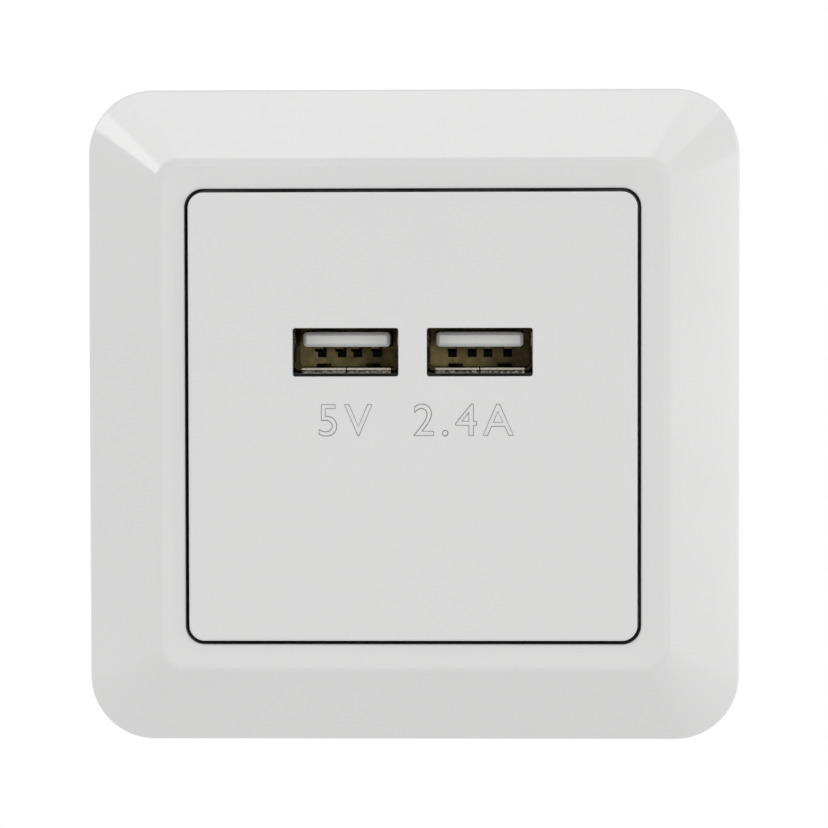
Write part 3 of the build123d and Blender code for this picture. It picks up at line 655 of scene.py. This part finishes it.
def darken(mesh, hidden):
    """Gives the faces in the gap round the plate the second material, a grey painted shade."""
    for face in mesh.faces:
        middle = face.calc_center_median()
        if hidden(max(abs(middle.x), abs(middle.z)), -middle.y):
            face.material_index = 1


def settle(made):
    """Turns what the modifiers make into plain mesh data."""
    graph = bpy.context.evaluated_depsgraph_get()
    shown = made.evaluated_get(graph)
    data = bpy.data.meshes.new_from_object(shown, preserve_all_data_layers=True, depsgraph=graph)
    made.modifiers.clear()
    return data


def softened(node, width):
    """A copy of a solid's mesh with its sharp edges rounded."""
    mesh = bmesh.new()
    mesh.from_mesh(frame["nodes"][node].data)
    bmesh.ops.remove_doubles(mesh, verts=mesh.verts, dist=weld)
    bmesh.ops.dissolve_limit(mesh, angle_limit=flat_turn, verts=mesh.verts, edges=mesh.edges)
    for face in mesh.faces:
        face.smooth = True
    made = added(node + " soft", as_data(node + " soft", mesh))
    bevel = made.modifiers.new("edges", "BEVEL")
    bevel.width = width
    bevel.segments = 2
    bevel.limit_method = "ANGLE"
    bevel.angle_limit = round_turn
    bevel.use_clamp_overlap = True
    made.data = settle(made)
    made.data.set_sharp_from_angle(angle=crease_turn)
    flats = made.modifiers.new("flats", "WEIGHTED_NORMAL")
    flats.weight = 100
    flats.keep_sharp = True
    result = settle(made)
    bpy.data.objects.remove(made)
    return result


def soft_piece(name, node, width, materials, body="socket"):
    """A finished piece in place of a solid, with the solid's sharp edges rounded."""
    return finished(name, softened(node, width), materials, body, [node], sharp=0)


# Geometry node trees


def new_tree(name, **inputs):
    """A geometry node tree with named inputs, and its first and last nodes."""
    tree = bpy.data.node_groups.new(name, "GeometryNodeTree")
    add_socket = tree.interface.new_socket
    add_socket("Geometry", in_out="INPUT", socket_type="NodeSocketGeometry")
    for label, kind in inputs.items():
        add_socket(label, in_out="INPUT", socket_type="NodeSocket" + kind)
    add_socket("Geometry", in_out="OUTPUT", socket_type="NodeSocketGeometry")
    return tree, tree.nodes.new("NodeGroupInput"), tree.nodes.new("NodeGroupOutput")


def end_tree(tree, source, entry, leave):
    """Ends a tree in plain geometry with its material."""
    plain = add_node(tree, "GeometryNodeRealizeInstances", Geometry=source)
    material = entry.outputs["Material"]
    dress = add_node(tree, "GeometryNodeSetMaterial", Geometry=plain.outputs[0], Material=material)
    feed(tree, leave, Geometry=dress.outputs["Geometry"])
    return tree


def sides_tree():
    """Repeats a shape in a row along X, and the row round the Y axis."""
    name = "rows round the opening"
    if name in bpy.data.node_groups:
        return bpy.data.node_groups[name]
    tree, entry, leave = new_tree(name, Spread="Float", Count="Int", Sides="Int", Material="Material")
    given = entry.outputs
    row = add_node(tree, "GeometryNodeMeshLine", Count=given["Count"])
    row.mode = "END_POINTS"
    for share, label in ((-0.5, "Start Location"), (0.5, "Offset")):
        half = maths(tree, "MULTIPLY", given["Spread"], share)
        end = add_node(tree, "ShaderNodeCombineXYZ", X=half).outputs[0]
        tree.links.new(end, next(socket for socket in row.inputs if socket.identifier == label))
    points, shape = row.outputs["Mesh"], given["Geometry"]
    copies = add_node(tree, "GeometryNodeInstanceOnPoints", Points=points, Instance=shape)
    sides = add_node(tree, "GeometryNodePoints", Count=given["Sides"])
    turn = maths(tree, "DIVIDE", 2 * math.pi, given["Sides"])
    angle = maths(tree, "MULTIPLY", tree.nodes.new("GeometryNodeInputIndex").outputs[0], turn)
    spin = add_node(tree, "ShaderNodeCombineXYZ", Y=angle)
    rotation = add_node(tree, "FunctionNodeEulerToRotation", Euler=spin.outputs[0])
    ring = add_node(
        tree,
        "GeometryNodeInstanceOnPoints",
        Points=sides.outputs[0],
        Instance=copies.outputs["Instances"],
        Rotation=rotation.outputs["Rotation"],
    )
    return end_tree(tree, ring.outputs["Instances"], entry, leave)


def outline_tree():
    """Draws words as a thin line along the outlines of their figures, facing the room."""
    kinds = {"Words": "String", "Size": "Float", "Spacing": "Float", "Line": "Float"}
    tree, entry, leave = new_tree("outline figures", **kinds, Middle="Vector", Material="Material")
    given = entry.outputs
    words = add_node(
        tree,
        "GeometryNodeStringToCurves",
        String=given["Words"],
        Size=given["Size"],
        Character_Spacing=given["Spacing"],
    )
    words.align_x = "CENTER"
    words.align_y = "MIDDLE"
    plain = add_node(tree, "GeometryNodeRealizeInstances", Geometry=words.outputs["Curve Instances"])
    profile = add_node(tree, "GeometryNodeCurvePrimitiveCircle", Resolution=6, Radius=given["Line"])
    round_line = profile.outputs["Curve"]
    tube = add_node(tree, "GeometryNodeCurveToMesh", Curve=plain.outputs[0], Profile_Curve=round_line)
    stand = add_node(
        tree,
        "GeometryNodeTransform",
        Geometry=tube.outputs["Mesh"],
        Rotation=(math.pi / 2, 0.0, 0.0),
        Translation=given["Middle"],
    )
    return end_tree(tree, stand.outputs["Geometry"], entry, leave)


def grown(name, mesh, tree, values):
    """The plain mesh that a tree makes of a shape, with the tree's named inputs set."""
    made = added(name + " seed", as_data(name, mesh))
    modifier = made.modifiers.new("nodes", "NODES")
    modifier.node_group = tree
    for item in tree.interface.items_tree:
        if item.in_out == "INPUT" and item.name in values:
            modifier[item.identifier] = values[item.name]
    result = settle(made)
    bpy.data.objects.remove(made)
    return result


def ringed(name, mesh, material, spread, count, sides):
    """A finished piece of the covers: a shape in rows round the opening."""
    bmesh.ops.recalc_face_normals(mesh, faces=mesh.faces)
    values = {"Spread": spread, "Count": count, "Sides": sides, "Material": material}
    return finished(name, grown(name, mesh, sides_tree(), values), [material])


# Operators


class SOCKET_OT_frame(bpy.types.Operator):
    """Bevelled outer frame with its rounded ridge, hollow back, ribs and tabs"""

    bl_idname = "socket.frame"
    bl_label = "Frame"

    def execute(self, context):
        sizes = context.scene.socket.frame
        white, grey = cover_materials(context.scene.socket.finishes)
        half = sizes.outer / 2
        slope = (sizes.front - sizes.edge) / (half - sizes.ridge)
        inner = half - sizes.wall
        inner_corner = sizes.corner - sizes.wall
        inner_edge = sizes.edge + slope * sizes.wall - sizes.wall * math.hypot(1, slope)
        roof = sizes.front - sizes.wall
        roof_edge = inner - (roof - inner_edge) / slope
        land = sizes.front - sizes.land_drop
        land_end = sizes.opening + sizes.opening_edge
        land_corner = sizes.opening_corner + sizes.opening_edge
        collar = sizes.opening + sizes.collar_wall
        collar_corner = sizes.opening_corner + sizes.collar_wall
        profile = round_profile(
            [
                (half, 0.0, sizes.corner, sizes.foot_round),
                (half, sizes.edge, sizes.corner, sizes.rim_round),
                (sizes.ridge, sizes.front, sizes.ridge_corner, sizes.ridge_round),
                (land_end, land, land_corner, sizes.land_round),
                (sizes.opening, land - sizes.opening_fall, sizes.opening_corner, sizes.collar_round),
                (sizes.opening, sizes.collar_back, sizes.opening_corner, sizes.collar_round),
                (collar, sizes.collar_back, collar_corner, sizes.collar_round),
                (collar, roof, collar_corner, 0.0),
                (roof_edge, roof, sizes.wall, 0.0),
                (inner, inner_edge, inner_corner, sizes.hollow_round),
                (inner, 0.0, inner_corner, sizes.foot_round),
            ],
            segments=7,
        )
        mesh = bmesh.new()
        loops = [
            rounded_loop((0, 0), distance, distance, corner, height, frame_steps)
            for distance, height, corner in profile
        ]
        skin(mesh, loops, close=True)
        # Faces inside the gap get the grey painted shade
        gap_top = land - sizes.collar_round
        darken(mesh, lambda away, height: away < sizes.opening + hair and height < gap_top)
        piece("frame_cover", mesh, [white, grey], replaces=["frame"])

        rib = bmesh.new()
        rib_foot = collar - rib_overlap
        rib_top = roof + rib_overlap
        outline = [
            (sizes.rib_back, rib_foot),
            (rib_top, rib_foot),
            (rib_top, roof_edge),
            (sizes.rib_back, inner - (sizes.rib_back - inner_edge) / slope + rib_overlap),
        ]
        prism(rib, outline, sizes.rib_thickness)
        ringed("frame_ribs", rib, white, sizes.rib_spread, count=2, sides=4)

        # The tabs in the gap get the grey painted shade too
        tab = bmesh.new()
        side = sizes.tab_width / 2
        low = (-side, -sizes.collar_back - sizes.tab_thickness, sizes.opening - sizes.tab_reach)
        high = (side, -sizes.collar_back - hair, sizes.opening + overlap)
        block(tab, low, high, sizes.tab_round)
        ringed("frame_tabs", tab, grey, sizes.tab_spread, count=3, sides=4)
        return {"FINISHED"}


class SOCKET_OT_plate(bpy.types.Operator):
    """Centre plate with its port windows, skirt and latch legs"""

    bl_idname = "socket.plate"
    bl_label = "Centre plate"

    def execute(self, context):
        sizes = context.scene.socket.plate
        white, grey = cover_materials(context.scene.socket.finishes)
        half = sizes.size / 2
        inside = half - sizes.skirt_wall
        back = sizes.front - sizes.thickness
        edge, lip = sizes.edge_round, sizes.window_round
        mesh = bmesh.new()

        rows = [(0.0, sizes.skirt_back), (0.0, sizes.front - edge - hold)]
        for angle in quarter_turn(steps=6):
            rows.append((edge * (math.cos(angle) - 1), sizes.front - edge * (1 - math.sin(angle))))
        rows.append((-edge - hold, sizes.front))
        outside = skin(mesh, stack((0, 0), half, half, sizes.corner, rows, plate_steps))
        rows = [(0.0, back), (0.0, sizes.skirt_back)]
        well = skin(mesh, stack((0, 0), inside, inside, sizes.skirt_corner, rows, plate_steps))
        join(mesh, outside[0], well[1])

        rows = [(lip + hold, sizes.front)]
        for angle in quarter_turn(steps=4):
            rows.append((lip * (1 - math.sin(angle)), sizes.front - lip * (1 - math.cos(angle))))
        rows += [(0.0, sizes.front - lip - hold), (0.0, back)]
        wide, tall = sizes.window_width / 2, sizes.window_height / 2
        fronts, backs = [], []
        for side in (-1, 1):
            middle = (side * sizes.port_pitch / 2, sizes.port_rise)
            rings = skin(mesh, stack(middle, wide, tall, sizes.window_corner, rows, small_steps))
            fronts.append(rings[0])
            backs.append(rings[-1])
        fill(mesh, outside[-1], *fronts)
        fill(mesh, well[0], *backs)

        # The skirt's rounded corners lie less than this inside its sides
        corner_room = 0.0008
        # The skirt's faces in the gap get the grey painted shade
        darken(mesh, lambda away, height: away > half - corner_room and height < sizes.front - edge)
        piece("plate_cover", mesh, [white, grey], replaces=["centre_plate"])

        leg = bmesh.new()
        top, hook, tip = back + overlap, -sizes.hook_clearance, -plate_high.y
        face = sizes.leg_face
        core = face - sizes.leg_thickness
        outline = [
            (top, core),
            (top, face),
            (hook, face),
            (hook, face + sizes.hook_reach),
            (tip, face),
            (tip, core),
        ]
        prism(leg, outline, sizes.leg_width)
        ringed("plate_legs", leg, white, sizes.leg_spread, count=2, sides=2)
        return {"FINISHED"}


class SOCKET_OT_mark(bpy.types.Operator):
    """Plain rating in outline figures under the ports"""

    bl_idname = "socket.mark"
    bl_label = "Rating"

    def execute(self, context):
        mark = context.scene.socket.mark
        grey = mark_ink(context.scene.socket.finishes.mark)
        values = {
            "Words": mark.words,
            "Size": mark.letter_size,
            "Spacing": mark.spacing,
            "Line": mark.line,
            "Middle": mark.middle[:],
            "Material": grey,
        }
        data = grown("rating_mark", bmesh.new(), outline_tree(), values)
        finished("rating_mark", data, [grey], sharp=0)
        return {"FINISHED"}


class SOCKET_OT_ports(bpy.types.Operator):
    """Port shells, tongues and contacts"""

    bl_idname = "socket.ports"
    bl_label = "Ports"

    def execute(self, context):
        finishes = context.scene.socket.finishes
        gold = port_metal(finishes.lip, finishes.shell, context.scene.socket.plate.port_pitch)
        # Painted shade: the contact metal is a near-black gold that stands for the shade deep in the ports
        bright = sheet_metal("contact metal", finishes.contact, (1.0, 0.15, 1.0), 0.18, 0.3)
        white = moulded("tongue plastic", finishes.tongue, 0.3, 0.42, grain=1500, depth=0.000003, vary=0.97)
        dark = moulded("tongue root", finishes.root, 0.6, 0.75, sheen=0.1)
        sizes = context.scene.socket.ports
        wide, tall = sizes.tongue_width / 2, sizes.tongue_thickness / 2
        cut, ease = sizes.tongue_chamfer, 0.3 * hold
        for side in ("left", "right"):
            paint(gold, "usb_shell_" + side)
            paint(bright, "usb_contacts_" + side)
            low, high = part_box("usb_tongue_" + side)
            middle = ((low.x + high.x) / 2, sizes.tongue_rise)
            tip, root = -low.y, high.y - sizes.base_depth
            rows = [
                (0.0, -root - sizes.root_overlap),
                (0.0, tip - cut - hold),
                (-ease, tip - cut),
                (-hold, tip - cut + hold),
                (hold - cut, tip - hold),
                (-cut, tip - ease),
                (-cut - hold, tip),
            ]
            mesh = bmesh.new()
            rings = skin(mesh, stack(middle, wide, tall, sizes.tongue_corner, rows, small_steps))
            mesh.faces.new(rings[0])
            mesh.faces.new(rings[-1])
            piece("tongue_" + side, mesh, [white], replaces=["usb_tongue_" + side])
            mesh = bmesh.new()
            block(mesh, (low.x, root, low.z), high, sizes.root_round)
            piece("tongue_root_" + side, mesh, [dark])
        paint(bright, "header_pins")
        return {"FINISHED"}


class SOCKET_OT_module(bpy.types.Operator):
    """Support plate, charger housing and terminal block"""

    bl_idname = "socket.module"
    bl_label = "Support plate and module"

    def execute(self, context):
        finishes = context.scene.socket.finishes
        edges = context.scene.socket.edges
        shadow = cover_materials(finishes)[1]
        zinc = zinc_plate(finishes.steel)
        # Painted shade in the housing's crevices
        grey = moulded("housing plastic", finishes.housing, 0.44, 0.6, crevice_shade=0.004)
        dark = moulded("block plastic", finishes.block, 0.36, 0.5)
        sheet = soft_piece("support_sheet", "support_plate", edges.sheet, [zinc, shadow])
        # Its face towards the room lies in the shadow of the gap, so it gets the grey painted shade
        for polygon in sheet.data.polygons:
            polygon.material_index = int(polygon.normal.y < -0.9)
        soft_piece("module_front", "housing_front", edges.front, [grey])
        soft_piece("module_rear", "housing_rear", edges.rear, [grey])
        soft_piece("terminal_body", "terminal_block", edges.front, [dark])
        return {"FINISHED"}


class SOCKET_OT_terminals(bpy.types.Operator):
    """Clamp cages, bars and screws of the mains terminals"""

    bl_idname = "socket.terminals"
    bl_label = "Terminals"

    def execute(self, context):
        finishes = context.scene.socket.finishes
        soft = context.scene.socket.edges.terminal
        brass = sheet_metal("terminal brass", finishes.brass, (1.0, 1.0, 0.2), 0.24, 0.4)
        plated = sheet_metal("screw plating", finishes.screw, (1.0, 1.0, 0.3), 0.22, 0.36)
        for pole in ("live", "neutral"):
            paint(brass, "terminal_bar_" + pole)
            clamp, screw = "terminal_clamp_" + pole, "terminal_screw_" + pole
            soft_piece("clamp_cage_" + pole, clamp, soft, [brass], "clamp_" + pole)
            soft_piece("clamp_screw_" + pole, screw, soft, [plated], "screw_" + pole)
        return {"FINISHED"}


class SOCKET_OT_electronics(bpy.types.Operator):
    """Finishes of the boards and components inside the module"""

    bl_idname = "socket.electronics"
    bl_label = "Electronics"

    def execute(self, context):
        finishes = context.scene.socket.finishes
        black = moulded("package plastic", finishes.package, 0.4, 0.55)
        paint(laminate(finishes.board), "usb_board", "power_board")
        paint(black, "header_body", "transformer_bobbin", "bridge_rectifier", "optocoupler")
        paint(black, "switching_chip", "rectifier_chip", "port_chips")
        ferrite = moulded("core ferrite", finishes.core, 0.5, 0.7, grain=900, depth=0.00002, vary=0.7)
        paint(ferrite, "transformer_core")
        paint(moulded("winding tape", finishes.tape, 0.3, 0.42), "transformer_winding")
        sleeve = moulded("capacitor sleeve", finishes.sleeve, 0.2, 0.3)
        paint(sleeve, "bulk_capacitor_lower", "bulk_capacitor_upper")
        paint(sleeve, "output_capacitor_lower", "output_capacitor_upper")
        paint(moulded("component case", finishes.case, 0.36, 0.5), "fuse", "safety_capacitor")
        return {"FINISHED"}


class SOCKET_OT_stage(bpy.types.Operator):
    """Camera, soft lamps, pale floor and white surroundings"""

    bl_idname = "socket.stage"
    bl_label = "Stage"

    def lamp(self, name, energy, where, size, target=(0, 0, 0)):
        """A soft rectangular lamp that faces a target."""
        data = bpy.data.lights.new(name, "AREA")
        data.shape = "RECTANGLE"
        data.size, data.size_y = size
        data.energy = energy
        made = added(name, data)
        made.location = where
        made.rotation_euler = (Vector(target) - Vector(where)).to_track_quat("-Z", "Y").to_euler()

    def light(self, stage):
        """Soft lamps, with three strips overhead where the top bevel and its corners mirror them."""
        strip_height, strip_depth, strip_length = 0.85, 0.16, 0.615
        self.lamp("front lamp", stage.front, where=(0.12, -1.0, 0.13), size=(0.64, 0.64))
        where = (0.0, -0.33, strip_height)
        self.lamp("top lamp", stage.top, where, size=(0.76, strip_depth), target=(0.0, -0.27, 0.0))
        strips = (
            ("left strip", stage.left_strip, -0.665, -0.6875),
            ("right strip", stage.right_strip, 0.65, 0.6725),
        )
        for name, energy, away, aim in strips:
            where = (away, -0.485, strip_height)
            self.lamp(name, energy, where, size=(strip_length, strip_depth), target=(aim, -0.4294, 0.0))
        self.lamp("right lamp", stage.right, where=(0.85, -0.05, 0.12), size=(0.5, 0.5))
        self.lamp("corner lamp", stage.corner, where=(-0.534, -0.285, 0.354), size=(0.14, 0.16))
        self.lamp("rear lamp", stage.rear, where=(-0.75, 0.55, 0.32), size=(0.6, 0.6))

    def execute(self, context):
        scene = context.scene
        stage = scene.socket.stage
        data = bpy.data.cameras.new("camera")
        data.lens = stage.lens
        data.clip_start = 0.01
        camera = added("camera", data)
        look = Vector(stage.target) - Vector(stage.camera)
        turn = look.to_track_quat("-Z", "Y").to_matrix().to_4x4() @ Matrix.Rotation(stage.roll, 4, "Z")
        camera.matrix_world = Matrix.Translation(stage.camera) @ turn
        scene.camera = camera
        self.light(stage)

        floor = bmesh.new()
        bmesh.ops.create_grid(floor, x_segments=1, y_segments=1, size=stage.floor_half)
        bmesh.ops.translate(floor, verts=floor.verts, vec=(0, 0, stage.floor))
        ground = added("floor", as_data("floor", floor))
        pale = Finish("floor")
        pale.colour(pale.noise(6), (0.90, 0.90, 0.90), (0.94, 0.94, 0.94))
        pale.shader.inputs["Roughness"].default_value = 0.9
        ground.data.materials.append(pale.material)

        # Plain white to the camera and in reflections, softer as light
        world = bpy.data.worlds.new("surroundings")
        world.use_nodes = True
        scene.world = world
        tree, white = world.node_tree, (1, 1, 1, 1)
        soft = feed(tree, tree.nodes["Background"], Color=white, Strength=stage.ambient)
        clean = add_node(tree, "ShaderNodeBackground", Color=white)
        path = tree.nodes.new("ShaderNodeLightPath").outputs
        seen = maths(tree, "ADD", path["Is Camera Ray"], path["Is Glossy Ray"])
        seen = maths(tree, "ADD", seen, path["Is Transmission Ray"])
        seen.node.use_clamp = True
        mix = add_node(tree, "ShaderNodeMixShader", Fac=seen)
        tree.links.new(soft.outputs[0], mix.inputs[1])
        tree.links.new(clean.outputs[0], mix.inputs[2])
        feed(tree, tree.nodes["World Output"], Surface=mix.outputs[0])
        scene.view_settings.view_transform = "Standard"
        return {"FINISHED"}


class SOCKET_PT_panel(bpy.types.Panel):
    """Lists the steps that build the socket"""

    bl_idname = "SOCKET_PT_panel"
    bl_label = "Twin USB socket"
    bl_space_type = "VIEW_3D"
    bl_region_type = "UI"
    bl_category = "Socket"

    def draw(self, context):
        for step in steps:
            self.layout.operator(step.bl_idname, text=step.bl_label)


groups = (
    SocketFrameSizes,
    SocketPlateSizes,
    SocketPortSizes,
    SocketEdges,
    SocketMark,
    SocketFinishes,
    SocketStageSettings,
    SocketSettings,
)
steps = (
    SOCKET_OT_frame,
    SOCKET_OT_plate,
    SOCKET_OT_mark,
    SOCKET_OT_ports,
    SOCKET_OT_module,
    SOCKET_OT_terminals,
    SOCKET_OT_electronics,
    SOCKET_OT_stage,
)


def register():
    """Registers the settings, the steps and the panel."""
    for made in (*groups, *steps, SOCKET_PT_panel):
        bpy.utils.register_class(made)
    bpy.types.Scene.socket = bpy.props.PointerProperty(type=SocketSettings)


def unregister():
    """Takes the settings, the steps and the panel away again."""
    del bpy.types.Scene.socket
    for made in reversed((*groups, *steps, SOCKET_PT_panel)):
        bpy.utils.unregister_class(made)


def main():
    """Builds every piece in order."""
    register()
    bpy.ops.socket.frame()
    bpy.ops.socket.plate()
    bpy.ops.socket.mark()
    bpy.ops.socket.ports()
    bpy.ops.socket.module()
    bpy.ops.socket.terminals()
    bpy.ops.socket.electronics()
    bpy.ops.socket.stage()


if __name__ == "__main__":
    main()
